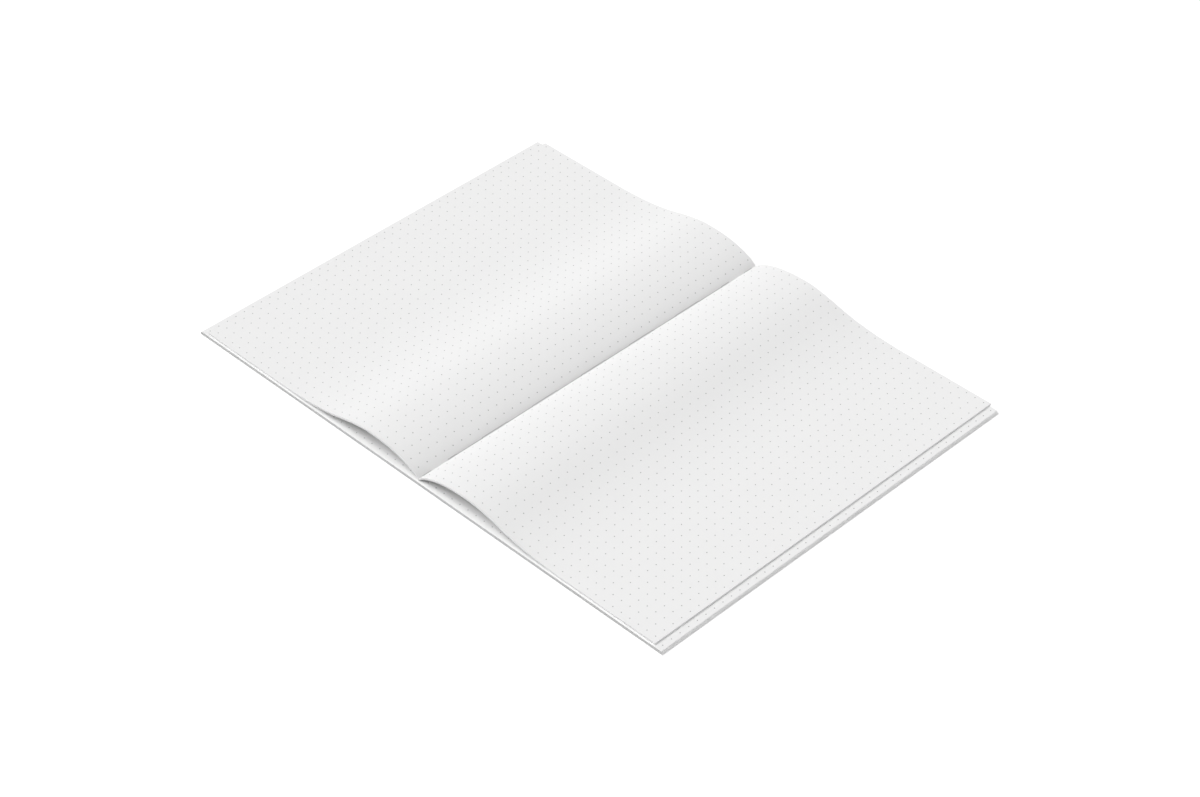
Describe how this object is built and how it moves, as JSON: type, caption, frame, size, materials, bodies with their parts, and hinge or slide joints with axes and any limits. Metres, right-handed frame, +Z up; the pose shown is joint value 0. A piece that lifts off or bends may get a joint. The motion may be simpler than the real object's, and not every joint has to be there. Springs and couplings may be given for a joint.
{
  "type": "notebook",
  "caption": "Soft-cover sewn notebook lying open flat, its dot-grid leaves arching up from the fold; it closes at the fold and a leaf turns on each side.",
  "frame": {"origin": "on the surface that the notebook lies on, under the middle of the fold", "axes": "+X across the right page away from the fold, +Y up the page along the fold, +Z up"},
  "size_m": [0.2892, 0.2108, 0.0106],
  "materials": {
    "paper": "matt uncoated",
    "cover_card": "matt smooth",
    "sewing_thread": "twisted grey thread"
  },
  "bodies": {
    "right_half": {"back_cover": "cover_card", "right_leaf_01": "paper", "right_leaf_02": "paper", "right_leaf_03": "paper", "right_leaf_04": "paper", "right_leaf_05": "paper", "right_leaf_06": "paper", "right_leaf_07": "paper", "right_leaf_08": "paper", "right_leaf_09": "paper", "right_leaf_10": "paper", "right_leaf_11": "paper", "right_leaf_12": "paper", "right_leaf_13": "paper", "right_leaf_14": "paper", "right_leaf_15": "paper"},
    "left_half": {"front_cover": "cover_card", "left_leaf_01": "paper", "left_leaf_02": "paper", "left_leaf_03": "paper", "left_leaf_04": "paper", "left_leaf_05": "paper", "left_leaf_06": "paper", "left_leaf_07": "paper", "left_leaf_08": "paper", "left_leaf_09": "paper", "left_leaf_10": "paper", "left_leaf_11": "paper", "left_leaf_12": "paper", "left_leaf_13": "paper", "left_leaf_14": "paper", "left_leaf_15": "paper"},
    "threads": {"right_thread": "sewing_thread", "left_thread": "sewing_thread"},
    "right_top_leaf": {"right_leaf_16": "paper"},
    "left_top_leaf": {"left_leaf_16": "paper"}
  },
  "joints": [
    {"name": "close_notebook", "type": "hinge", "parent": "right_half", "child": "left_half", "pos_m": [0, 0, 0.00258], "axis": [0, 1, 0], "range_deg": [0, 180], "deforming": ["right_leaf_10", "right_leaf_11", "right_leaf_12", "right_leaf_13", "right_leaf_14", "right_leaf_15", "right_leaf_16", "left_leaf_10", "left_leaf_11", "left_leaf_12", "left_leaf_13", "left_leaf_14", "left_leaf_15", "left_leaf_16"]},
    {"name": "threads_follow_fold", "type": "hinge", "parent": "right_half", "child": "threads", "pos_m": [0, 0, 0.00258], "axis": [0, 1, 0], "range_deg": [0, 90]},
    {"name": "turn_right_leaf", "type": "hinge", "parent": "right_half", "child": "right_top_leaf", "pos_m": [0, 0, 0.00258], "axis": [0, 1, 0], "range_deg": [-42, 0]},
    {"name": "turn_left_leaf", "type": "hinge", "parent": "left_half", "child": "left_top_leaf", "pos_m": [0, 0, 0.00258], "axis": [0, -1, 0], "range_deg": [-42, 0]}
  ],
  "couplings": [
    {"joint": "threads_follow_fold", "follows": "close_notebook", "ratio": 0.5}
  ]
}
